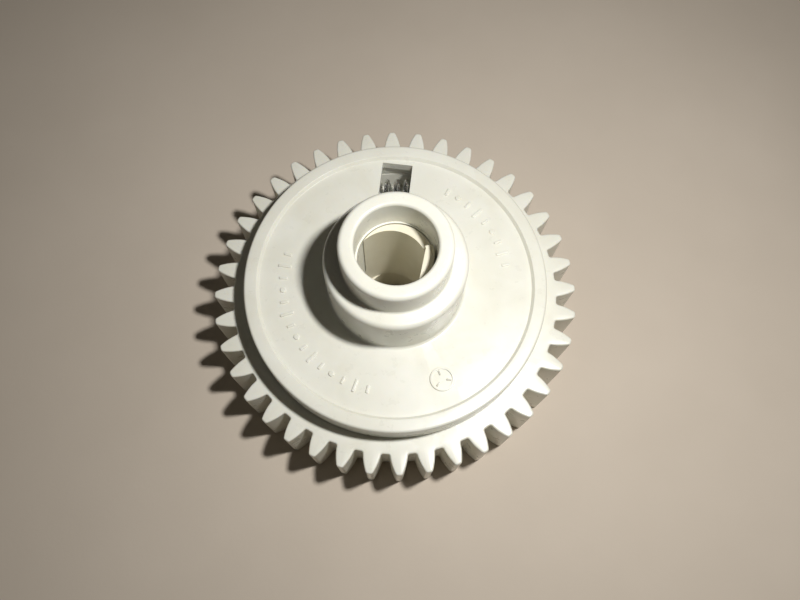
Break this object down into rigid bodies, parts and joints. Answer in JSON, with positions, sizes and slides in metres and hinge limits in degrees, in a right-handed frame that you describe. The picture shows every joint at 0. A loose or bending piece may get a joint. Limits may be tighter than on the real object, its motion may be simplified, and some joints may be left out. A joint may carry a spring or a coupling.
{
  "type": "spring-cushioned drive gear",
  "caption": "Moulded spur gear ring that turns a few degrees on a stepped hollow hub against coil springs, held by a washer and a retaining ring.",
  "frame": {"origin": "centre of the gear ring's lower face, on the gear's axis", "axes": "+Z along the gear's axis, from the toothed ring towards the hub's nose; +Y towards the opening in the plate, about 7 degrees short of it"},
  "size_m": [0.042, 0.042, 0.0224],
  "materials": {
    "ivory_nylon": "satin moulded, faint flow marks",
    "sleeve_nylon": "satin moulded",
    "washer_acetal": "smooth",
    "clip_steel": "dark phosphated",
    "spring_steel": "bright drawn wire"
  },
  "bodies": {
    "toothed_ring": {"gear_ring": "ivory_nylon", "cushion_spring_1": "spring_steel", "cushion_spring_2": "spring_steel", "cushion_spring_3": "spring_steel", "cushion_spring_4": "spring_steel"},
    "hub": {"hub_disc": "ivory_nylon", "drive_sleeve": "sleeve_nylon", "thrust_washer": "washer_acetal", "retaining_ring": "clip_steel"}
  },
  "joints": [
    {"name": "cushion_turn", "type": "hinge", "parent": "toothed_ring", "child": "hub", "pos_m": [0, 0, 0.005], "axis": [0, 0, 1], "range_deg": [0, 8], "stiffness_Nm_per_rad": 0.6, "springref_deg": -2.86, "deforming": ["cushion_spring_1", "cushion_spring_2", "cushion_spring_3", "cushion_spring_4"]}
  ]
}
